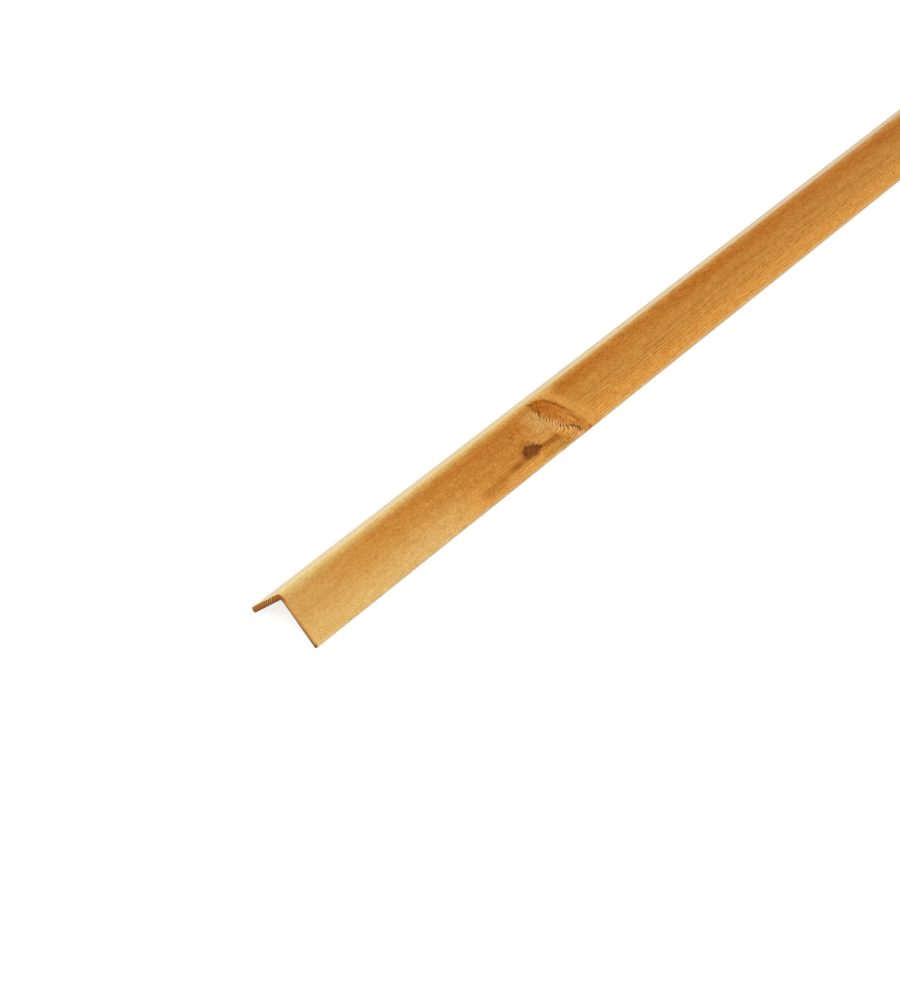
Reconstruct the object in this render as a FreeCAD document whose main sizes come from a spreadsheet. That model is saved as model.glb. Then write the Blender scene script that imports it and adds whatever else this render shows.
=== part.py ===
# Corner guard moulding: one length of planed pine run through a moulder to an
# L section, and laid as it comes off the shelf, like a roof with its nose up and
# its two free edges on the floor.
# Row frame: X runs along the stock, Z is up, and the origin is on the floor under
# the middle of the length. Lengths are in millimetres.

import FreeCAD, Part
import os

import Sketcher
from FreeCAD import Vector

doc = FreeCAD.newDocument("CornerGuard")

# Driving dimensions.
DIMENSIONS = [
    ("stock_length", 1200.0, "sold length of the moulding"),
    ("leg_width", 40.0, "outer width of each leg, from the sharp corner that the nose rounds off"),
    ("leg_thickness", 4.0, "thickness of both legs"),
    ("nose_radius", 5.0, "rounding of the outer corner, where people brush past"),
    ("root_radius", 1.5, "rounding that the cutter leaves in the inner corner"),
    ("face_edge_radius", 2.0, "eased edge between the face and the free edge of a leg"),
    ("back_edge_radius", 1.0, "eased edge between the back and the free edge of a leg"),
]

sizes = doc.addObject("Spreadsheet::Sheet", "Sizes")
for row, (alias, value, meaning) in enumerate(DIMENSIONS, start=1):
    sizes.set(f"A{row}", alias)
    sizes.set(f"B{row}", str(value))
    sizes.set(f"C{row}", meaning)
    sizes.setAlias(f"B{row}", alias)
doc.recompute()


def origin_plane(body, role):
    """The plane of the body's own origin that has this role."""
    return next(plane for plane in body.Origin.OriginFeatures if plane.Role == role)


def draw_section(sketch):
    """Draws the L section with its sharp outer corner on the sketch's origin.

    One leg runs along +u and the other along -v, and their backs face the angle
    between them. The outline runs clockwise: face, free edge, back, root, and the
    same again on the second leg, up to the nose."""
    leg = sizes.leg_width
    thick = sizes.leg_thickness
    nose = sizes.nose_radius
    root = sizes.root_radius
    face_edge = sizes.face_edge_radius
    back_edge = sizes.back_edge_radius

    quarter = 1.5707963267948966
    up, left, down, right = quarter, 2 * quarter, -quarter, 0.0

    def line(u0, v0, u1, v1):
        segment = Part.LineSegment(Vector(u0, v0, 0), Vector(u1, v1, 0))
        return sketch.addGeometry(segment, False)

    def arc(u, v, radius, start, end):
        circle = Part.Circle(Vector(u, v, 0), Vector(0, 0, 1), radius)
        return sketch.addGeometry(Part.ArcOfCircle(circle, start, end), False)

    face_a = line(nose, 0, leg - face_edge, 0)
    tip_face_a = arc(leg - face_edge, -face_edge, face_edge, right, up)
    tip_a = line(leg, -face_edge, leg, back_edge - thick)
    tip_back_a = arc(leg - back_edge, back_edge - thick, back_edge, down, right)
    back_a = line(leg - back_edge, -thick, thick + root, -thick)
    root_arc = arc(thick + root, -thick - root, root, up, left)
    back_b = line(thick, -thick - root, thick, back_edge - leg)
    tip_back_b = arc(thick - back_edge, back_edge - leg, back_edge, down, right)
    tip_b = line(thick - back_edge, -leg, face_edge, -leg)
    tip_face_b = arc(face_edge, face_edge - leg, face_edge, left, left + quarter)
    face_b = line(0, face_edge - leg, 0, -nose)
    nose_arc = arc(nose, -nose, nose, up, left)

    # The joints between neighbours are tangent, each given as (curve, end).
    START, END = 1, 2
    joints = [
        (face_a, END, tip_face_a, END),
        (tip_face_a, START, tip_a, START),
        (tip_a, END, tip_back_a, END),
        (tip_back_a, START, back_a, START),
        (back_a, END, root_arc, START),
        (root_arc, END, back_b, START),
        (back_b, END, tip_back_b, END),
        (tip_back_b, START, tip_b, START),
        (tip_b, END, tip_face_b, END),
        (tip_face_b, START, face_b, START),
        (face_b, END, nose_arc, END),
        (nose_arc, START, face_a, START),
    ]
    for joint in joints:
        sketch.addConstraint(Sketcher.Constraint("Tangent", *joint))
    for flat in (face_a, back_a, tip_b):
        sketch.addConstraint(Sketcher.Constraint("Horizontal", flat))
    for upright in (face_b, back_b, tip_a):
        sketch.addConstraint(Sketcher.Constraint("Vertical", upright))

    # Both faces run through the sketch's origin when they are carried on.
    ORIGIN = (-1, 1)
    sketch.addConstraint(Sketcher.Constraint("PointOnObject", *ORIGIN, face_a))
    sketch.addConstraint(Sketcher.Constraint("PointOnObject", *ORIGIN, face_b))

    # The sizes, each bound to its cell.
    def bind(name, alias, kind, *where):
        index = sketch.addConstraint(Sketcher.Constraint(kind, *where))
        sketch.renameConstraint(index, name)
        sketch.setExpression(f"Constraints.{name}", f"Sizes.{alias}")

    bind("leg_a", "leg_width", "DistanceX", *ORIGIN, tip_a, START, leg)
    bind("leg_b", "leg_width", "DistanceY", tip_b, START, *ORIGIN, leg)
    bind("thickness_a", "leg_thickness", "DistanceY", back_a, START, *ORIGIN, thick)
    bind("thickness_b", "leg_thickness", "DistanceX", *ORIGIN, back_b, START, thick)
    bind("nose", "nose_radius", "Radius", nose_arc, nose)
    bind("root", "root_radius", "Radius", root_arc, root)
    bind("face_edge_a", "face_edge_radius", "Radius", tip_face_a, face_edge)
    bind("face_edge_b", "face_edge_radius", "Radius", tip_face_b, face_edge)
    bind("back_edge_a", "back_edge_radius", "Radius", tip_back_a, back_edge)
    bind("back_edge_b", "back_edge_radius", "Radius", tip_back_b, back_edge)


# The moulding: its section, run along the whole length.
moulding = doc.addObject("PartDesign::Body", "Moulding")
moulding.Label = "corner_moulding"

section = moulding.newObject("Sketcher::SketchObject", "Section")
section.AttachmentSupport = [(origin_plane(moulding, "YZ_Plane"), "")]
section.MapMode = "FlatFace"
draw_section(section)

run = moulding.newObject("PartDesign::Pad", "Run")
run.Profile = section
run.SideType = "Symmetric"
run.setExpression("Length", "Sizes.stock_length")

# Turned an eighth of a turn, the nose points up. Each leg then stands on the eased
# back edge of its tip, and that edge's lowest point is on the floor.
EIGHTH_TURN = 45.0
moulding.Placement = FreeCAD.Placement(
    Vector(0, 0, 0), FreeCAD.Rotation(Vector(1, 0, 0), -EIGHTH_TURN)
)
moulding.setExpression(
    "Placement.Base.z",
    "(Sizes.leg_width + Sizes.leg_thickness - 2 * Sizes.back_edge_radius) / sqrt(2)"
    " + Sizes.back_edge_radius",
)
doc.recompute()

for item in doc.Objects:
    if "Invalid" in item.State or "Error" in item.State:
        raise RuntimeError(f"{item.Name} failed: {item.State}")
if section.solve() != 0:
    raise RuntimeError("the section's sketch doesn't solve")

shape = moulding.Shape
if shape.isNull() or not shape.isValid() or len(shape.Solids) != 1:
    raise RuntimeError("the moulding isn't one valid solid")

os.makedirs("parts", exist_ok=True)
shape.exportStep(f"parts/{moulding.Label}.step")

box = shape.BoundBox
print(f"length {box.XLength:.1f}, width {box.YLength:.2f}, height {box.ZLength:.2f}")
print(f"lowest point {box.ZMin:.4f}, volume {shape.Volume / 1000:.1f} cm3")
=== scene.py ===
# %% Load the frame
import math

import bmesh
import bpy
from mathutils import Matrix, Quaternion, Vector


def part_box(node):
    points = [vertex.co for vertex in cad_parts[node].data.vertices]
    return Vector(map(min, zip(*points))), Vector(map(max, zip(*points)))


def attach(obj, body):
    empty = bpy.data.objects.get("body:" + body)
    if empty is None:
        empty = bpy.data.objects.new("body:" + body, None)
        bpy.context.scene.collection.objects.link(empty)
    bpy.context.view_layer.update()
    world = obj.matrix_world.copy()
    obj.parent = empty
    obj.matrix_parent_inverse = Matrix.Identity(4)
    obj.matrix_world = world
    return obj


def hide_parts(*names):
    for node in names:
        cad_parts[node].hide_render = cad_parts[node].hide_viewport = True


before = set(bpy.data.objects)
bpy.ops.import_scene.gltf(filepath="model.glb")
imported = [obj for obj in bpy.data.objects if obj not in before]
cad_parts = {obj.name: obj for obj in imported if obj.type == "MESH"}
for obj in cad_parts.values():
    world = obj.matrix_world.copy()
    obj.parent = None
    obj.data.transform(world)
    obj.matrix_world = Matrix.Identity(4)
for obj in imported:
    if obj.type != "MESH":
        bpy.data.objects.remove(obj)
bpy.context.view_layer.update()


low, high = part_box("corner_moulding")
print("the solid runs from", [round(n, 4) for n in low], "to", [round(n, 4) for n in high])

# %% [markdown]
# The whole object is one length of pine, planed to an L and lying with its nose up,
# like the roof of a house. Its length and its height come from the frame, and the
# sizes of the section are those of the cutter. The sharp corner is the line where the
# two faces would meet if the nose weren't rounded. Everything on the stock is measured
# from it: along the length from the near end, across the front leg from the nose to
# its free edge, and in depth from the front face through to the back leg's free edge.

# %% Sizes of the stock
MM = 0.001
LEG_WIDTH = 40.0 * MM
LEG_THICKNESS = 4.0 * MM
NOSE_RADIUS = 5.0 * MM
ROOT_RADIUS = 1.5 * MM
FACE_EDGE_RADIUS = 2.0 * MM
BACK_EDGE_RADIUS = 1.0 * MM
SLOPE = math.sqrt(0.5)

start, end = low[0], high[0]
corner_height = high[2] + NOSE_RADIUS * (1 / SLOPE - 1)


def on_stock(along, across, depth):
    """The point this far along the stock, down the front leg and down the back leg."""
    return Vector((
        start + along,
        (depth - across) * SLOPE,
        corner_height - (across + depth) * SLOPE,
    ))


print("the sharp corner is", round(corner_height / MM, 2), "mm above the floor")

# %% [markdown]
# The photograph looks down on the near end and along the stock, with a longish lens,
# and the camera leans a little to one side. A camera can be placed by eye until the
# picture looks right. Here its place, aim, lean and lens were found by matching the
# corners of the near end and the two long outlines, which leaves nothing to judgement.

# %% Camera
CAMERA_PLACE = Vector((-1.2846, -0.7655, 0.9513))
CAMERA_AIM = Vector((-0.4540, -0.0079, 0.0100))
CAMERA_LEAN = math.radians(-3.04)
LENS_LENGTH = 82.82
SENSOR_WIDTH = 36

lens = bpy.data.cameras.new("camera")
lens.lens = LENS_LENGTH
lens.sensor_width = SENSOR_WIDTH
camera = bpy.data.objects.new("camera", lens)
camera.location = CAMERA_PLACE
level_aim = (CAMERA_AIM - CAMERA_PLACE).to_track_quat("-Z", "Y")
camera.rotation_euler = (level_aim @ Quaternion((0, 0, 1), CAMERA_LEAN)).to_euler()
bpy.context.scene.collection.objects.link(camera)
bpy.context.scene.camera = camera
print("the camera is", round((CAMERA_AIM - CAMERA_PLACE).length, 3), "m from its aim")

# %% [markdown]
# The section is what the moulder's cutters leave: two legs of one thickness, a rounded
# nose, a small round in the inner corner, and eased free edges. It could be drawn point
# by point. Here six sharp corners are joined to one face, and each corner is then
# beveled with its own radius, as a designer rounds a sketch. A larger radius gets more
# flats, so that every round looks as smooth as the next.

# %% Section of the moulding
NOSE_FLATS = 14
ROOT_FLATS = 6
FACE_EDGE_FLATS = 8
BACK_EDGE_FLATS = 5


def rounded_section():
    """A bmesh that holds one face, the L section at the near end."""
    mesh = bmesh.new()
    outline = [
        (0, 0, NOSE_RADIUS, NOSE_FLATS),
        (LEG_WIDTH, 0, FACE_EDGE_RADIUS, FACE_EDGE_FLATS),
        (LEG_WIDTH, LEG_THICKNESS, BACK_EDGE_RADIUS, BACK_EDGE_FLATS),
        (LEG_THICKNESS, LEG_THICKNESS, ROOT_RADIUS, ROOT_FLATS),
        (LEG_THICKNESS, LEG_WIDTH, BACK_EDGE_RADIUS, BACK_EDGE_FLATS),
        (0, LEG_WIDTH, FACE_EDGE_RADIUS, FACE_EDGE_FLATS),
    ]
    corners = [
        mesh.verts.new(on_stock(0, across, depth)) for across, depth, _, _ in outline
    ]
    mesh.faces.new(corners)
    for corner, (_, _, radius, flats) in zip(corners, outline):
        bmesh.ops.bevel(
            mesh, geom=[corner], affect="VERTICES", offset=radius, offset_type="OFFSET",
            segments=flats, profile=0.5, material=-1,
        )
    return mesh


stock = rounded_section()
print("the section has", len(stock.verts), "corners")

# %% [markdown]
# The section is run out to the whole length, as the stock runs through the moulder.
# One long face on each side would do for the shape. The run is cut across into even
# pieces all the same, because slivers a metre long and a third of a millimetre wide
# shade badly and are hard to unwrap.

# %% Run the section out
PIECES = 400


def run_along(mesh, length, pieces):
    """Runs the section out to a length of stock, cut across into even pieces."""
    run = bmesh.ops.extrude_face_region(mesh, geom=mesh.faces[:], use_keep_orig=True)
    far = [item for item in run["geom"] if isinstance(item, bmesh.types.BMVert)]
    bmesh.ops.translate(mesh, verts=far, vec=(length, 0, 0))
    lengthwise = [
        edge for edge in mesh.edges
        if abs(edge.verts[0].co.x - edge.verts[1].co.x) > length / 2
    ]
    bmesh.ops.subdivide_edges(mesh, edges=lengthwise, cuts=pieces - 1, use_grid_fill=True)
    bmesh.ops.recalc_face_normals(mesh, faces=mesh.faces)


run_along(stock, end - start, PIECES)
print("the run has", len(stock.faces), "faces")

# %% [markdown]
# A saw leaves the two ends sharp, and a few strokes of sandpaper take that edge off, so
# that it doesn't splinter. A Bevel modifier would also round the long edges again. The
# bevel is made here, on the rims of the two end faces alone, and narrow enough to leave
# the length as it is.

# %% Ease the two ends
END_EASE = 0.25 * MM
EASE_FLATS = 3
CRISP = math.radians(20)


def ease_ends(mesh):
    """Bevels the rims of both end faces, and marks the edges that stay crisp."""
    ends = [face for face in mesh.faces if abs(face.normal.x) > 0.99]
    rims = [edge for face in ends for edge in face.edges]
    bmesh.ops.bevel(
        mesh, geom=rims, affect="EDGES", offset=END_EASE, offset_type="OFFSET",
        segments=EASE_FLATS, profile=0.5, material=-1,
    )
    for face in mesh.faces:
        face.smooth = True
    for edge in mesh.edges:
        edge.smooth = edge.calc_face_angle(0) < CRISP
    return len(ends)


print("eased", ease_ends(stock), "ends, volume", round(stock.calc_volume() * 1e6, 1), "cm3")

# %% [markdown]
# The mesh now becomes an object, which takes the solid's place. It sits on the part's
# one body, because a moulding has nothing that moves.

# %% The moulding as an object
stock_mesh = bpy.data.meshes.new("moulding")
stock.to_mesh(stock_mesh)
stock.free()
moulding = bpy.data.objects.new("moulding", stock_mesh)
bpy.context.scene.collection.objects.link(moulding)
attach(moulding, "root")
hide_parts("corner_moulding")
print("the moulding has", len(stock_mesh.polygons), "faces")

# %% [markdown]
# Pine isn't easy to fake with one Wood or Wave texture, because its knots bend the
# grain round them. Here the pattern is built from many small sums, each worked out at
# every point of the surface. A Math node is one such sum. This small class lets the
# sums be written as plain arithmetic, and each plus or times then adds a node.

# %% Sums in the wood's material
wood = bpy.data.materials.new("planed_pine")
wood.use_nodes = True
nodes, links = wood.node_tree.nodes, wood.node_tree.links


class Reading:
    """A number or a colour that the wood's material reads afresh at every point."""

    def __init__(self, socket):
        self.socket = socket

    def __add__(self, other):
        return calc("ADD", self, other)

    def __sub__(self, other):
        return calc("SUBTRACT", self, other)

    def __rsub__(self, other):
        return calc("SUBTRACT", other, self)

    def __mul__(self, other):
        return calc("MULTIPLY", self, other)

    def __truediv__(self, other):
        return calc("DIVIDE", self, other)

    __radd__ = __add__
    __rmul__ = __mul__


def plug(value, socket):
    """Links a reading to a socket, or sets the socket to a plain number or colour."""
    if isinstance(value, Reading):
        links.new(value.socket, socket)
    else:
        socket.default_value = value


def calc(operation, *values):
    """One Math node."""
    node = nodes.new("ShaderNodeMath")
    node.operation = operation
    for value, socket in zip(values, node.inputs):
        plug(value, socket)
    return Reading(node.outputs[0])


print("the material starts with", len(nodes), "nodes")

# %% [markdown]
# Four shapes of curve do most of the work. A rise goes softly from 0 to 1, and marks
# where a zone begins. A band is one rise up and one down, for a zone that also ends. A
# hill is 1 on a line and falls off beside it, and draws a streak. Latewood is the dark,
# hard wood that ends each year's ring: it darkens slowly through the summer and stops
# at once when the next spring's pale wood begins.

# %% Curves
def rise(reading, begins, full):
    """0 up to begins and 1 from full on, with a soft change; either may be the larger."""
    node = nodes.new("ShaderNodeMapRange")
    node.interpolation_type = "SMOOTHSTEP"
    for value, name in ((reading, "Value"), (begins, "From Min"), (full, "From Max")):
        plug(value, node.inputs[name])
    return Reading(node.outputs["Result"])


def band(reading, begins, full, fades, ends):
    """1 from full to fades, and 0 before it begins and after it ends."""
    return rise(reading, begins, full) * rise(reading, ends, fades)


def hill(reading, width):
    """1 where the reading is 0, falling off to both sides over about this width."""
    share = reading / width
    return calc("EXPONENT", share * share * -1)


def latewood(rings, begins=0.45):
    """1 in the dark wood that ends each ring, 0 in the pale wood that begins it."""
    return band(calc("FRACT", rings), begins, 0.9, 0.94, 1.0)


print("curves: rise, band, hill, latewood")

# %% [markdown]
# Colours are written as they are read off a screen, and turned to the linear values
# that nodes work in. Pale over dark is a plain mix. A ring line or a resin stain is more
# like varnish, since the wood still shows through it, so it multiplies what is under it.
# A Mix node has sockets for numbers and vectors before those for colours, so its two
# colours go in at 6 and 7 and the blend comes out at 2.

# %% Colour helpers
def srgb(red, green, blue):
    """A colour as a screen shows it, from 0 to 255, made linear as nodes take it."""
    def linear(level):
        level = level / 255
        return level / 12.92 if level <= 0.04045 else ((level + 0.055) / 1.055) ** 2.4
    return (linear(red), linear(green), linear(blue), 1)


def mix(first, second, share, blend="MIX"):
    """A blend of two colours, all second where the share is 1."""
    node = nodes.new("ShaderNodeMix")
    node.data_type = "RGBA"
    node.blend_type = blend
    plug(share, node.inputs[0])
    plug(first, node.inputs[6])
    plug(second, node.inputs[7])
    return Reading(node.outputs[2])


def stain(colour, tint, share):
    """A colour seen through a tint, as through a thin layer of it, where the share is 1."""
    return mix(colour, tint, share, "MULTIPLY")


def shade(colour, level):
    """A colour made lighter or darker by a level about 1."""
    node = nodes.new("ShaderNodeVectorMath")
    node.operation = "SCALE"
    plug(colour, node.inputs[0])
    plug(level, node.inputs["Scale"])
    return Reading(node.outputs[0])


print("half of white on the screen is", round(srgb(127.5, 0, 0)[0], 3), "in a node")

# %% [markdown]
# A pattern has to stay on the wood when the part is moved, so everything reads Object
# coordinates. They are turned to the three distances of the stock, in millimetres.
# Reach is the distance from the nose on either leg, and turn goes from plus on the
# front leg, through 0 on the ridge, to minus on the back leg. The bare numbers in the
# rises, bands and hills below are such distances, measured on the photograph.

# %% Where a point lies on the stock
coordinates = nodes.new("ShaderNodeTexCoord")
apart = nodes.new("ShaderNodeSeparateXYZ")
links.new(coordinates.outputs["Object"], apart.inputs[0])
x, y, z = [Reading(output) / MM for output in apart.outputs]

drop = corner_height / MM - z
along = x - start / MM
across = (drop - y) * SLOPE
depth = (drop + y) * SLOPE
reach = calc("MAXIMUM", across, depth)
turn = across - depth
print("the places on the stock bring the material to", len(nodes), "nodes")

# %% [markdown]
# Nothing in wood is ruled, so each line and border below is pushed about by some noise.
# Wood is alike along the grain and changes fast across it, and the noise is stretched
# along the stock to match. A noise is given the length and the width of its patches,
# and a lane of its own, so that no two of them fall in step.

# %% Noise along the grain
def noise_at(first, second, third, detail):
    """Noise from about -1 to 1, one patch wide at each whole number of its three inputs."""
    spot = nodes.new("ShaderNodeCombineXYZ")
    for value, socket in zip((first, second, third), spot.inputs):
        plug(value, socket)
    texture = nodes.new("ShaderNodeTexNoise")
    texture.inputs["Scale"].default_value = 1
    texture.inputs["Detail"].default_value = detail
    links.new(spot.outputs[0], texture.inputs["Vector"])
    return (Reading(texture.outputs["Fac"]) - 0.5) * 3


def cloud(length, width, detail, lane):
    """Patches this many millimetres long and wide; each lane gives other patches."""
    return noise_at(along / length + lane, across / width + lane, depth / width, detail)


wobble = cloud(7, 3, 2, 5.0)
ripple = cloud(2.4, 1.6, 2, 9.0)
print("two shared noises bring it to", len(nodes), "nodes")

# %% [markdown]
# Where a branch left the trunk, the wood of the branch lies across the wood of the
# stem. On the front leg it shows as a brown lens with a dark rim on its far side. It
# could be a picture laid on the face, but the front leg is sawn right through it, so it
# has to come out at the back as well. Both of its outlines are curves over the width of
# the leg, and they shift a little along the stock with depth, as a real branch slants.

# %% Outlines of the branch
front = rise(depth, 8, 5)
slant = along + depth * 1.2

branch_left = calc("MAXIMUM", 229.2 + across * 0.60 + across * across * 0.0052, 234.2)
branch_left = branch_left + hill(across - 32.5, 3.4) * 3.4
branch_right = 233.0 + calc("POWER", calc("MAXIMUM", across - 1.0, 0), 0.448) * 7.1
past_left = slant - branch_left
past_right = slant - branch_right + wobble * 0.35
print("the branch's outlines bring it to", len(nodes), "nodes")

# %% [markdown]
# Beside the branch the stem's fibres dive under it, and the plane cut them off short.
# They show as a pale, feathered patch. Close to the branch they are drawn out in
# strokes like the teeth of a comb, which hook into it in the upper part of the leg and
# sweep up to it in wide curves near the free edge. Further off they break up into short
# slanting flecks. The strokes are rings that bend with the distance from the branch,
# and the flecks are noise that is stretched on the slant.

# %% Feathered grain beside the branch
STROKE_SPACING = 1.8


def streaks_along(offset, down, width, length, detail, lane):
    """Streaks that follow a curve: offset is the distance from it, down the place on it."""
    return noise_at(offset / width + lane, down / length, 0.0, detail)


low_part = rise(across, 23, 28)
hooked = calc("SMOOTH_MAX", (past_left + 5.0) * 0.36, 0, 0.9)
reach_back = calc("MAXIMUM", past_left + 10.0, 0)
swept = reach_back * reach_back * 0.021
bend = hooked + (swept - hooked) * low_part
feather = across / STROKE_SPACING + bend + wobble * 0.50 + ripple * 0.20
stroke = latewood(feather, 0.30 - low_part * 0.18)

scales = latewood(slant * 0.38 + across * 0.32 + wobble * 0.75 + ripple * 0.22, 0.2)
across_flecks = slant * 0.70 + across * 0.71
along_flecks = across * 0.70 - slant * 0.71
slanting = streaks_along(across_flecks, along_flecks, 0.80, 3.6, 2, 3.0)
fleck = rise(slanting + (scales - 0.4) * 0.5, -0.15, 0.6)
by_edge = rise(past_left + rise(across, 24, 28) * 20, -5, -2)
print("the feathered grain brings it to", len(nodes), "nodes")

# %% [markdown]
# The border between the two woods isn't a clean line. The pale wood between two strokes
# reaches into the branch like a tooth, and the branch's wood runs out along the stroke.
# So the distance to the border has the strokes added to it before it is cut in two,
# into what is branch and what is feathered grain.

# %% Teeth on the border
tooth_length = 2.6 + rise(across, 15, 20) * 2.0 + cloud(9, 4, 1, 21.0) * 2.4
tooth = (stroke - 0.45) * rise(across, 5, 14) * tooth_length + wobble
past_tooth = past_left + tooth
in_branch = (
    rise(past_tooth, -0.4, 0.4) * rise(past_right, 0.5, -0.5) * rise(across, 1.0, 2.6)
    * rise(slant + ripple * 0.8, 233.0, 235.0) * front
)
feathered = (
    rise(slant + wobble * 2.0, 208, 224) * rise(past_tooth, 0.5, -0.3)
    * rise(across, 4, 9) * front
)
print("the teeth bring it to", len(nodes), "nodes")

# %% [markdown]
# Growth rings meet the face as long lines. On the back leg they are cut across and lie
# a steady 2.5 mm apart. On the front leg the saw ran along a ring, so the middle of the
# face has hardly a line, and they crowd together only towards the free edge. Very long,
# faint noise bends them, and a second, patchy one lets them fade and come back, because
# lines of one strength look printed.

# %% Growth rings
RING_SPACING = 2.5
EDGE_RING_SPACING = 1.6

rings = (
    depth / RING_SPACING
    + calc("SMOOTH_MAX", (across - 21.5) / EDGE_RING_SPACING, 0, 7.0)
    + cloud(420, 34, 1, 1.0) * 0.9
    + cloud(70, 12, 2, 2.0) * 0.22
    + wobble * 0.10
)
late = latewood(rings)
line_patches = cloud(38, 7, 2, 11.0)
outer_lines = rise(across, 24, 31) * (
    0.05 + rise(along, 125, 165) * 0.9
    - rise(along, 178, 190) * rise(across, 28, 30) * 0.6
    - band(along, 140, 152, 176, 186) * 0.35
    - rise(along, 172, 190) * rise(across, 31, 34) * 0.2
    - rise(along, 252, 258) * 0.8 + line_patches * 0.6
)
middle_lines = rise(across, 8, 24) * rise(along, 256, 264) * (0.35 + line_patches * 0.5)
back_leg_lines = rise(depth, 6, 12) * (0.6 + line_patches * 0.3)
line_strength = calc("MAXIMUM", outer_lines + middle_lines, back_leg_lines)
line_strength = line_strength + 0.08 + rise(along, 110, 160) * 0.12 + line_patches * 0.1
line_strength = calc("MAXIMUM", line_strength, 0) * (1 - rise(slant, 222, 230) * feathered)
print("the rings bring it to", len(nodes), "nodes")

# %% [markdown]
# Under the lines the wood has slow changes of colour: straw at the near end, amber
# further on and beside the nose, and gold towards the free edges, where the face is
# lighter. Along the length, old pine that has seen light looks like this. On the nose
# itself the amber fades out, as part of a painted highlight. Each change is one mix of
# two colours, and broad noise keeps the borders between them from looking ruled.

# %% Ground colour
STRAW = srgb(211, 160, 87)
HONEY = srgb(212, 151, 66)
AMBER = srgb(189, 111, 27)

amber_share_and_nose_highlight = (
    rise(along, 10, 215) * 0.58
    - rise(along, 246, 262) * 0.34
    + rise(across, 15, 6) * rise(along, -40, 100) * 0.30
    + rise(across, 25, 6) * rise(along, 256, 268) * 0.35
    + cloud(150, 14, 3, 3.0) * 0.14
    + cloud(26, 5, 3, 4.0) * 0.14
# The last factor fades the amber out on the nose: a painted highlight.
) * rise(across, -2.5, 5.5 + rise(along, 100, 160) * 2.0 - rise(along, 254, 264) * 2.8)
colour = mix(STRAW, HONEY, rise(along, -20, 90))
colour = mix(colour, AMBER, amber_share_and_nose_highlight)

gold = mix(srgb(228, 183, 107), srgb(234, 166, 76), rise(along, 115, 175))
gold_share = rise(reach, 13 + rise(along, 130, 190) * 7, 37) * (
    0.95 - rise(along, 150, 175) * 0.10 - rise(along, 222, 240) * 0.10
)
colour = mix(colour, gold, gold_share)
print("the ground colours bring it to", len(nodes), "nodes")

# %% [markdown]
# The back leg is sapwood, the youngest wood of the tree, which is nearly cream. At the
# near end the same pale colour comes over the nose and a little way down the front
# leg, and it draws back with the length, as the border of the heartwood does. On the
# nose it is partly sapwood and partly a painted highlight. Just behind the ridge it is
# a warmer yellow, which tints that painted highlight. The free edges have been handled
# and rubbed, and are paler too.

# %% Sapwood, painted nose highlight and rubbed edges
RUBBED = srgb(222, 192, 136)

sapwood_and_nose_highlight = mix(srgb(222, 192, 118), srgb(216, 190, 130), rise(depth, 8, 30))
warm_nose_highlight = hill(turn + 3.5, 2.6) * (0.25 + rise(along, 60, 210) * 0.65)
sapwood_and_nose_highlight = mix(sapwood_and_nose_highlight, srgb(226, 184, 86), warm_nose_highlight)
far_wander = cloud(160, 20, 2, 26.0) * rise(along, 290, 420) * 5
sap_and_highlight_edge = turn + along * 0.019 - 4.0 + far_wander
sap_and_highlight_begins = 4.4 + hill(along - 215, 26) * 1.6
sap_and_highlight_full = -6.8 - rise(along, 185, 225) * 4.0 + rise(along, 250, 262) * 3.6
# On the nose this mix is partly sapwood and partly a painted highlight.
colour = mix(colour, sapwood_and_nose_highlight, rise(sap_and_highlight_edge, sap_and_highlight_begins, sap_and_highlight_full))
colour = mix(colour, RUBBED, rise(reach, 36.4, 39.4) * 0.75)
print("the sapwood and the rubbed edges bring it to", len(nodes), "nodes")

# %% [markdown]
# The ring lines go over heartwood and sapwood alike. Latewood is the same wood, only
# denser, so it is drawn as the ground seen through a brown tint. A line of one colour
# would look too dark on the sapwood and too pale on the amber.

# %% Ring lines
LATE_TINT = (0.72, 0.52, 0.30, 1)

colour = stain(colour, LATE_TINT, late * line_strength * 0.8)
colour = shade(colour, 1.04)
print("the latewood's tint is", LATE_TINT[:3])

# %% [markdown]
# Resin has soaked into the wood on both sides of the knot, in a streak along the grain.
# It is darkest beside the knot and thins out to the left, where ring lines show in it.
# Stretched noise would put it anywhere, so it is made of four hills over the width,
# each shown along its own band of the length.

# %% Resin streak
STREAK_DOWN = 29.3

streak_line = across - STREAK_DOWN + wobble * 0.5
streak = (
    hill(streak_line, 2.2) * band(slant, 220, 227, 239, 245) * 0.95
    + hill(streak_line + 0.4, 2.8) * band(slant, 187, 201, 207, 215) * 0.80
    + hill(streak_line - 3.0, 4.0) * band(slant, 156, 172, 180, 192)
    * (0.40 + late * 0.16 + line_patches * 0.25)
    + hill(streak_line - 0.4, 1.8) * band(slant, 172, 184, 195, 205) * 0.40
)
streak_colour = mix(srgb(168, 94, 14), srgb(166, 99, 17), rise(slant, 210, 224))
colour = mix(colour, streak_colour, streak * front)

beside_streak = band(slant, 184, 190, 198, 206) * rise(across, 30.5, 32) * front
colour = mix(colour, srgb(219, 151, 75), beside_streak * 0.45)
print("the streak brings it to", len(nodes), "nodes")

# %% [markdown]
# Below the knot the rings stand out as bright and dark lines, with browner wood to the
# right. They don't line up with the rings further left, so they have a spacing of their
# own. Both kinds come out of one pattern: the dark lines are its latewood, and the
# bright ones are the rest.

# %% Lines below the knot
LINE_SPACING = 1.65
BROWNED = srgb(218, 218, 200)

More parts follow.
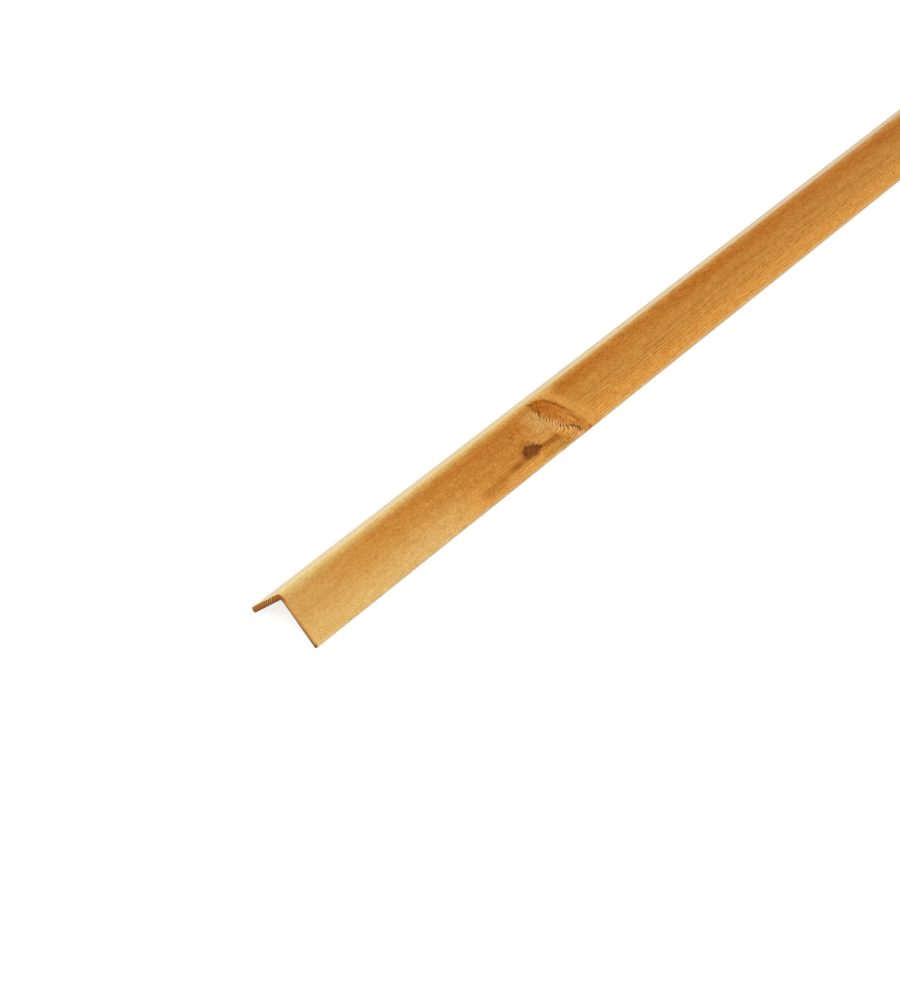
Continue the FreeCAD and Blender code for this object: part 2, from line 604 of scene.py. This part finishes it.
ragged_ends = slant + cloud(9, 1.6, 2, 28.0) * 4
broken_lines = cloud(8, 1.6, 2, 24.0)
lines = latewood(
    across / LINE_SPACING + cloud(60, 8, 2, 18.0) * 0.5 + wobble * 0.2, 0.25
)
below_knot = (
    band(ragged_ends, 200, 208, 244, 256) * band(across, 29.8, 31.4, 36, 38) * front
)
brown_part = rise(ragged_ends, 215, 225)
bright_share = 0.50 - brown_part * 0.35 + broken_lines * 0.9
colour = mix(colour, srgb(246, 190, 92), (1 - lines) * below_knot * bright_share)

browned = rise(across, 29.8, 31.4) * rise(ragged_ends, 262, 254) * (
    brown_part * 0.70 + rise(across, 33, 36) * rise(ragged_ends, 208, 218) * 0.35
)
browned = browned * (1 - rise(across, 37.5, 39.5) * 0.6)
colour = stain(colour, BROWNED, browned * front)
colour = stain(colour, LATE_TINT, lines * below_knot * (0.78 + broken_lines * 0.6))
print("the lines below the knot bring it to", len(nodes), "nodes")

# %% [markdown]
# Past the branch the lines come back as short dashes, as if the plane had just touched
# a wavy ring. A ring pattern gives the lines, and patches of noise break them up.

# %% Dashes past the branch
DASH_SPACING = 1.6

dashes = latewood(across / DASH_SPACING + along / 60 + wobble * 0.25, 0.3)
dashed = (
    rise(along + wobble * 2.0, 274, 279) * band(across, 24, 27, 36, 38)
    * rise(cloud(10, 2.4, 2, 17.0), -0.35, 0.45) * front
)
colour = stain(colour, LATE_TINT, dashes * dashed * 1.5)
colour = shade(colour, 1.0 + (1 - dashes) * dashed * 0.25)
print("the dashes bring it to", len(nodes), "nodes")

# %% [markdown]
# Now the feathered patch gets its colour. Its ground is pale, with a warmer skirt
# below. The strokes and flecks are laid over it as a stain, strongest where they hook
# into the branch, and the gaps between the strokes are nearly cream there, because the
# cut ends of the fibres scatter the light.

# %% Colour of the feathered patch
CREAM = srgb(253, 207, 134)

patch_floor = 27.0 + rise(slant, 238, 250) * 9.5
patch_side = slant - calc("MAXIMUM", across - 8, 0) * 0.62 + wobble * 1.6
patch = (
    rise(patch_side, 216, 227) * band(across, 3, 9, patch_floor - 1.5, patch_floor + 1.5)
    * rise(past_tooth, 0.3, -0.3) * front
)
skirt = (
    rise(slant + wobble * 1.6, 215, 224) * band(across, 12, 18, 26.5, 28)
    * rise(past_tooth, 0.3, -0.3) * front
)
colour = mix(colour, srgb(212, 153, 76), skirt * 0.65)
patch_colour = mix(srgb(213, 162, 89), srgb(214, 148, 65), rise(across, 20, 28))
colour = mix(colour, patch_colour, patch * 0.9)

stroke_level = 0.80 + rise(past_left, -7, -1) * 0.25 + rise(across, 23, 28) * 0.25
broken = 0.80 + cloud(5, 2.5, 2, 23.0) * 0.35
stroke_dark = (
    stroke * by_edge * broken * stroke_level
    + fleck * (1 - by_edge) * rise(across, 28, 24)
)
stroke_zone = feathered * rise(slant + wobble * 2.0, 214, 225)
colour = stain(colour, LATE_TINT, stroke_dark * stroke_zone)
gaps = (1 - stroke) * hill(past_left + 2.6 + low_part * 1.6, 2.6 + low_part * 2.6)
gaps = gaps * rise(across, 14, 24)
colour = shade(colour, 1.0 + feathered * (0.10 + low_part * 0.08))
colour = mix(colour, CREAM, gaps * feathered * 0.47)
print("the patch brings it to", len(nodes), "nodes")

# %% [markdown]
# Round the far side of the branch the stem's fibres are pushed aside, and close up
# again. They show as a strip of light wood that bends with the branch and fades out to
# the right, and as a lighter place on the ridge just above. The strip's streaks follow
# the branch's outline, because they read the distance to it and not the length.

# %% Light wood past the branch
light_ridge = band(slant, 242, 247, 254, 260) * rise(across, 6.5, 2.5)
colour = mix(colour, srgb(230, 182, 104), light_ridge * rise(turn, -7, -2) * 0.7)
beyond = band(past_right, 0.2, 1.6, 5, 12) * rise(across, 1, 3) * front
beyond_streaks = streaks_along(past_right, across, 2.2, 16, 2, 5.0)
beyond_zone = band(past_right, 0, 2, 6, 16) * front
colour = mix(colour, srgb(225, 158, 72), beyond * 0.9)
colour = shade(colour, 1.0 + beyond_streaks * beyond_zone * 0.10)
print("the light wood past the branch brings it to", len(nodes), "nodes")

# %% [markdown]
# The branch itself is darker than the stem and has its own grain. It runs in streaks
# along the far rim, and in slanting waves on the near side, where the wood is also
# redder.

# %% Wood of the branch
branch_colour = mix(srgb(181, 107, 27), srgb(206, 142, 58), rise(across, 9, 30))
reddish = rise(past_left, 8, 0) * rise(across, 8, 12)
branch_colour = mix(branch_colour, srgb(200, 124, 54), reddish * 0.8)
branch_streaks = streaks_along(past_right + wobble * 0.3, across, 1.5, 16, 3, 0.0)
branch_waves = latewood(slant * 0.26 + across * 0.27 + wobble * 0.6 + ripple * 0.2, 0.2)
branch_dark = (
    branch_streaks * (1.1 + rise(across, 16, 22) * 0.9) * rise(past_left, 2, 8)
    + branch_waves * rise(past_left, 14, 5) * 0.75
)
branch_colour = stain(branch_colour, LATE_TINT, calc("MAXIMUM", branch_dark, 0))
colour = mix(colour, shade(branch_colour, 1.18), in_branch)
print("the branch brings it to", len(nodes), "nodes")

# %% [markdown]
# The rim is what is left of the branch's bark. It is thin and dark above, and wide and
# soft below, with a brown halo outside the upper part. A line modelled in relief would
# be a groove, but the plane left the face flat, so all three are colour alone.

# %% Rim of the branch
rim = hill(past_right + 1.2, 0.9) * band(across, 3, 7, 15, 26) * front
soft_rim = hill(past_right + 2.2 + wobble * 0.8, 2.4) * front * (
    rise(across, 14, 22) - rise(across, 32.5, 34.5) * 0.5
)
halo = hill(past_right - 0.6, 1.6) * band(across, 2, 5, 10, 20) * front
colour = mix(colour, srgb(146, 76, 4), rim * (0.95 + ripple * 0.4))
colour = mix(colour, srgb(164, 94, 16), soft_rim * (0.42 + branch_streaks * 0.5))
colour = mix(colour, srgb(180, 108, 30), halo * 0.35)
print("the rim brings it to", len(nodes), "nodes")

# %% [markdown]
# Bits of bark are caught where the teeth of the feathered grain meet the branch, like a
# row of dark commas, and they run together to a seam near the free edge. The commas are
# the strokes again, shown only in a narrow strip on the border, and again, fainter,
# inside the branch.

# %% Bark along the border
patchy = cloud(4, 4, 1, 15.0)
commas = (
    hill(past_left + 0.6 + wobble * 0.8, 2.1) * stroke * band(across, 12, 15, 36, 38)
    * (0.80 + low_part * 0.3 + patchy * 0.8)
)
inner_commas = (
    hill(past_left - 5.0 + wobble * 1.6, 1.8) * stroke * band(across, 16, 19, 24, 27)
    * (0.35 + patchy * 0.7)
)
seam = (
    hill(past_left + wobble * 0.9, 1.1) * band(across, 28.6, 30.2, 35.5, 38)
    * (0.95 + ripple * 0.3)
)
bark = calc("MAXIMUM", calc("MAXIMUM", commas, inner_commas), seam)
bark_share = calc("MINIMUM", calc("MAXIMUM", bark, 0), 0.95)
colour = mix(colour, srgb(112, 60, 4), bark_share * front)
print("the bark brings it to", len(nodes), "nodes")

# %% [markdown]
# Higher up, the bark lies in four small pockets. Each is a hill along the stock times a
# hill across it, leaned over so that it follows the tip of the branch.

# %% Pockets of bark
def pocket(at, down, lean, width, length):
    """A small pocket of bark with its middle at this place on the front leg."""
    return hill(slant - at - (across - down) * lean, width) * hill(across - down, length)


pockets = (
    pocket(237.4, 10.3, -0.36, 0.9, 2.9) * 1.3
    + pocket(234.8, 5.5, 0.5, 0.8, 2.0) * 0.6
    + pocket(236.0, 2.9, 1.0, 1.2, 1.1) * 0.9
    + pocket(240.3, 2.3, 1.2, 0.9, 1.0) * 0.4
)
colour = mix(colour, srgb(116, 60, 6), calc("MINIMUM", pockets * 1.1, 0.95) * front)
print("the pockets bring it to", len(nodes), "nodes")

# %% [markdown]
# The knot is a small dead branch, cut at a slant, so it shows as a dark drop with a
# tail. A drop is an oval whose length and width change from one side to the other. Fine
# noise frays its outline, most of all on top, and below it fades out softly into the
# streak. Its size reads 0 in the middle and 1 on the outline, so that one reading gives
# the dark heart, the edge and the brown ring round it.

# %% Knot
KNOT_ALONG = 213.5
KNOT_DOWN = 26.2
BARK = srgb(118, 56, 6)

knot_along = slant - KNOT_ALONG
knot_across = across - KNOT_DOWN - calc("MAXIMUM", knot_along, 0) * 0.17
knot_length = 6.0 + rise(knot_along, -1, 1) * 6.0
knot_width = 4.1 - rise(knot_along, 3, 12) * 2.6
share_along = knot_along / knot_length
share_across = knot_across / knot_width
from_centre = calc("SQRT", share_along * share_along + share_across * share_across)

frayed = cloud(2.2, 1.1, 3, 6.0)
below = rise(knot_across, 0, 3)
knot_size = from_centre + frayed * (0.24 - below * 0.14)
knot_size = knot_size + rise(across, 25, 23) * rise(slant, 210, 218) * frayed * 0.2
in_knot = rise(knot_size, 1.26 + below * 0.40, 0.74 - below * 0.20) * front

colour = mix(colour, srgb(166, 96, 26), rise(knot_size, 1.9, 1.0) * 0.5 * front)
knot_colour = mix(BARK, srgb(134, 72, 20), rise(knot_size, 0.9, 0.2))
colour = mix(colour, shade(knot_colour, 1.0 + frayed * 0.25), in_knot)
print("the knot brings it to", len(nodes), "nodes")

# %% [markdown]
# On top of the knot pale fibres reach over it, with dark tips between them. They are
# rings squeezed to less than 2 mm apart and kept to a narrow strip on the knot's upper
# outline.

# %% Fibres over the knot
FIBRE_TIP_SPACING = 1.9

fuzz = cloud(3.4, 1.5, 2, 8.0)
over_knot = (
    hill(knot_size - 1.12 + cloud(3, 2, 2, 27.0) * 0.16, 0.26) * rise(slant, 211.5, 216)
    * rise(knot_across, 0.4, -0.8) * (0.7 + fuzz * 0.6) * front
)
fibre_tips = latewood(
    slant / FIBRE_TIP_SPACING + across * 0.35 + wobble + ripple * 0.35, 0.2
)
colour = mix(colour, srgb(220, 158, 88), over_knot * (1 - fibre_tips) * 0.72)
colour = mix(colour, BARK, over_knot * fibre_tips * 0.6)
print("the fibres over the knot bring it to", len(nodes), "nodes")

# %% [markdown]
# Above the knot the fibres are thrown into a curl, which catches the light in short
# upright waves. They are streaks along a line that leans with the curl.

# %% Curl above the knot
across_curl = slant * 0.92 - across * 0.39 + wobble * 0.4
along_curl = across * 0.92 + slant * 0.39
curl = streaks_along(across_curl, along_curl, 1.3, 6, 2, 4.0)
curled = band(slant, 196, 206, 218, 226) * band(across, 7, 12, 20, 24) * front
colour = shade(colour, 1.0 + curl * curled * 0.40)
print("the curl brings it to", len(nodes), "nodes")

# %% [markdown]
# All over the face there are fibres as fine as hair, small flecks and a soft mottle.
# They are weak, but without them the wood looks like plastic. Wood that is darker is
# also richer in colour, so a Gamma node does a part of the darkening.

# %% Fibres and flecks
def deepen(colour, amount):
    """A colour made darker and richer, as oil does, where the amount is above 0."""
    node = nodes.new("ShaderNodeGamma")
    plug(colour, node.inputs["Color"])
    plug(1.0 + amount, node.inputs["Gamma"])
    return Reading(node.outputs[0])


fibre = cloud(22, 0.45, 3, 7.0)
speck = cloud(1.6, 0.8, 2, 12.0)
mottle = cloud(9, 4, 2, 13.0)
figured = 0.55 + rise(along, 20, 110) * 0.35
paler = fibre * 0.10 + speck * 0.22 + (fuzz * 0.16 + mottle * 0.12) * figured
colour = deepen(shade(colour, 1.0 + paler * 0.57), paler * -0.86)
print("the fibres and flecks bring it to", len(nodes), "nodes")

# %% [markdown]
# The nose is what people brush past, and it picks up small scuffs with a little dirt
# in them. They are the high spots of a noise, kept to a band along the ridge.

# %% Scuffs on the nose
scuff = rise(cloud(6, 2.5, 3, 22.0), 0.70, 1.15) * hill(turn, 4.0)
colour = stain(colour, srgb(206, 180, 150), scuff * 0.8)
print("the scuffs bring it to", len(nodes), "nodes")

# %% [markdown]
# A saw cut shows the rings from their ends: dark bands through the thickness, bold on
# the back leg and faint on the front leg. End grain also drinks light, so it is browner
# and duller than the faces. The inner half of the thickness, which faces into the L, is
# darkened with painted shade, and the front leg's tip is darker too. The end grain
# lies within a hair of both ends, and one reading of the distance to the nearer end
# finds it.

# %% End grain
END_RING_SPACING = 2.7

through_back_leg = depth - across * 1.3
through_front_leg = across - depth * 0.8
through_leg = calc("MAXIMUM", through_back_leg, through_front_leg)
end_rings = latewood(through_leg / END_RING_SPACING + wobble * 0.1, 0.15)
bold = band(through_back_leg, 9.0, 10.0, 20.5, 22.0)
under_face = calc("MINIMUM", across, depth)
painted_shade_inner_half = rise(under_face, 1.2, 3.2)

end_colour = mix(srgb(168, 106, 34), srgb(206, 148, 80), rise(across, 4, 9))
for tint, share in (
    (srgb(148, 78, 16), hill(through_back_leg - 3.5, 4.5) * 0.7),
    (srgb(214, 150, 82), bold * (1 - end_rings) * 0.8),
    (srgb(62, 20, 0), end_rings * (bold * 0.80 + 0.20)),
    # Painted shade on the inner half of the thickness, which faces into the L.
    (srgb(104, 58, 16), painted_shade_inner_half * (0.55 + rise(across, 14, 30) * 0.35)),
    (srgb(78, 56, 28), rise(across, 36.5, 39.5) * 0.8),
):
    end_colour = mix(end_colour, tint, share)

from_end = calc("MINIMUM", along, (end - start) / MM - along)
at_end = rise(from_end, 0.30, 0.05)
colour = mix(colour, shade(end_colour, 1.0 + speck * 0.25), at_end)
print("the end grain brings it to", len(nodes), "nodes")

# %% [markdown]
# Planed pine with a coat of wax has a low, even sheen: fairly rough, with a weak
# mirror. The latewood is harder and a touch smoother, and the backs of the legs, which
# nobody sees once it is fixed, have no wax. The mirror's strength is the same all over,
# so it is set on the shader's own socket, while the roughness is worked out.

# %% Sheen of the planed wood
MIRROR = 0.15
WAXED_ROUGHNESS = 0.38
END_ROUGHNESS = 0.78

shader = nodes["Principled BSDF"]
plug(colour, shader.inputs["Base Color"])
inner_side = rise(under_face, 2.4, 3.6)
roughness = WAXED_ROUGHNESS - late * 0.04 + fuzz * 0.03 + scuff * 0.15 + inner_side * 0.34
plug(calc("MAXIMUM", roughness, at_end * END_ROUGHNESS), shader.inputs["Roughness"])
shader.inputs["Specular IOR Level"].default_value = MIRROR
print("the mirror's strength is", MIRROR)

# %% [markdown]
# Relief this fine would need millions of faces, so it is bump: the hard lines stand a
# hundredth of a millimetre proud, the cutter has left faint ripples every 1.6 mm, and
# the knot and the scuffs are sunk a little. The relief is in millimetres. The ridge is
# seen at a flat angle, where bump sparkles, so it is weaker there.

# %% Relief of the planed wood
CUTTER_STEP = 1.6

cutter_marks = calc("SINE", along * (2 * math.pi / CUTTER_STEP))
relief = (
    fibre * 0.010 + late * line_strength * 0.015 + fuzz * 0.003 + speck * 0.0015
    + cutter_marks * (0.0012 + inner_side * 0.004) - in_knot * 0.03 - scuff * 0.02
)
off_ridge = 0.3 + rise(calc("ABSOLUTE", turn), 0, 5) * 0.7
bump = nodes.new("ShaderNodeBump")
bump.inputs["Strength"].default_value = 1.0
bump.inputs["Distance"].default_value = MM
plug(relief * off_ridge, bump.inputs["Height"])
links.new(bump.outputs["Normal"], shader.inputs["Normal"])
stock_mesh.materials.append(wood)
print("the finished material has", len(nodes), "nodes")

# %% [markdown]
# The photograph was cut out on pure white. A floor can be made white by flooding it
# with light, but that would bleach the wood too. Here the floor gives back light as
# pale paper does, and only what the camera or a reflection sees of it is lifted to
# white. These two functions tell the rays that carry light from the rays of the eye.

# %% Two looks for one surface
def seen_directly(tree):
    """1 for a ray that the camera, or a glossy or clear surface, sends out; else 0."""
    path = tree.nodes.new("ShaderNodeLightPath")
    seen = path.outputs["Is Camera Ray"]
    for name in ("Is Glossy Ray", "Is Transmission Ray"):
        either = tree.nodes.new("ShaderNodeMath")
        either.operation = "MAXIMUM"
        tree.links.new(seen, either.inputs[0])
        tree.links.new(path.outputs[name], either.inputs[1])
        seen = either.outputs[0]
    return seen


def pick_by_ray(tree, for_light, for_eye, out):
    """Shows one shader to the rays that carry light and another to the eye."""
    pick = tree.nodes.new("ShaderNodeMixShader")
    tree.links.new(seen_directly(tree), pick.inputs[0])
    tree.links.new(for_light, pick.inputs[1])
    tree.links.new(for_eye, pick.inputs[2])
    tree.links.new(pick.outputs[0], out.inputs["Surface"])


print("a surface can now look one way to light and another way to the eye")

# %% [markdown]
# What the eye sees of the floor is a dim matt part, which takes the moulding's shadow,
# with a glow added to it. Far from the moulding the lamps are weak, so the glow grows
# with the distance.

# %% Material of the floor
FLOOR_BOUNCE = (0.8, 0.8, 0.8, 1)
FLOOR_SHADOW_SHARE = (0.36, 0.36, 0.36, 1)
NEAR_GLOW = 0.76
FAR_GLOW = 1.0
GLOW_GROWS_FROM = 0.9
GLOW_GROWS_TO = 3.0


def matt(tree, tone):
    """A matt shader of this tone."""
    node = tree.nodes.new("ShaderNodeBsdfDiffuse")
    node.inputs["Color"].default_value = tone
    return node.outputs[0]


paper = bpy.data.materials.new("pale_floor")
paper.use_nodes = True
paper_tree = paper.node_tree
paper_tree.nodes.clear()
floor_place = paper_tree.nodes.new("ShaderNodeTexCoord")
distance = paper_tree.nodes.new("ShaderNodeVectorMath")
distance.operation = "LENGTH"
paper_tree.links.new(floor_place.outputs["Object"], distance.inputs[0])
glow_level = paper_tree.nodes.new("ShaderNodeMapRange")
for name, value in (
    ("From Min", GLOW_GROWS_FROM), ("From Max", GLOW_GROWS_TO),
    ("To Min", NEAR_GLOW), ("To Max", FAR_GLOW),
):
    glow_level.inputs[name].default_value = value
paper_tree.links.new(distance.outputs["Value"], glow_level.inputs["Value"])
glow = paper_tree.nodes.new("ShaderNodeEmission")
paper_tree.links.new(glow_level.outputs["Result"], glow.inputs["Strength"])
lifted = paper_tree.nodes.new("ShaderNodeAddShader")
paper_tree.links.new(matt(paper_tree, FLOOR_SHADOW_SHARE), lifted.inputs[0])
paper_tree.links.new(glow.outputs[0], lifted.inputs[1])
pick_by_ray(
    paper_tree, matt(paper_tree, FLOOR_BOUNCE), lifted.outputs[0],
    paper_tree.nodes.new("ShaderNodeOutputMaterial"),
)
print("the floor's material has", len(paper_tree.nodes), "nodes")

# %% [markdown]
# The floor itself is one large square, so wide that no view shows its edge.

# %% Floor
FLOOR_HALF_WIDTH = 20

sheet = bmesh.new()
bmesh.ops.create_grid(sheet, x_segments=1, y_segments=1, size=FLOOR_HALF_WIDTH)
floor_mesh = bpy.data.meshes.new("floor")
sheet.to_mesh(floor_mesh)
sheet.free()
floor_mesh.materials.append(paper)
floor = bpy.data.objects.new("floor", floor_mesh)
bpy.context.scene.collection.objects.link(floor)
print("the floor is", 2 * FLOOR_HALF_WIDTH, "m wide")

# %% [markdown]
# A studio lights such a thing from everywhere, with large soft lamps. The even part
# comes from the world, which is white to the eye but dimmer as a light.

# %% Light from all round
WORLD_LIGHT = 0.48
WORLD_SEEN = 1.0

world = bpy.data.worlds.new("studio")
bpy.context.scene.world = world
world.use_nodes = True
world_tree = world.node_tree
world_tree.nodes.clear()


def sky(tree, strength):
    """A white sky of this strength."""
    node = tree.nodes.new("ShaderNodeBackground")
    node.inputs["Color"].default_value = (1, 1, 1, 1)
    node.inputs["Strength"].default_value = strength
    return node.outputs[0]


pick_by_ray(
    world_tree, sky(world_tree, WORLD_LIGHT), sky(world_tree, WORLD_SEEN),
    world_tree.nodes.new("ShaderNodeOutputWorld"),
)
print("the world lights at", WORLD_LIGHT, "and shows at", WORLD_SEEN)

# %% [markdown]
# One large softbox in front gives the face its level, and a smaller one behind lights
# the back leg. It stands on the camera's side, so that its reflection misses the nose.

# %% Softboxes
LAMP_AIM = Vector((-0.3, 0, 0))


def softbox(name, place, width, height, watts):
    """A rectangular area light at a place, turned to the part that the picture shows."""
    lamp = bpy.data.lights.new(name, "AREA")
    lamp.shape = "RECTANGLE"
    lamp.size = width
    lamp.size_y = height
    lamp.energy = watts
    holder = bpy.data.objects.new(name, lamp)
    holder.location = place
    towards = LAMP_AIM - Vector(place)
    holder.rotation_euler = towards.to_track_quat("-Z", "Y").to_euler()
    bpy.context.scene.collection.objects.link(holder)
    print(name, "gives", watts, "W")


softbox("back_light", (-1.49, 1.42, 0.75), 1.6, 1.2, 22)
softbox("front_light", (-1.6, -1.9, 2.2), 2.0, 2.0, 48)

bpy.context.scene.view_settings.view_transform = "Standard"
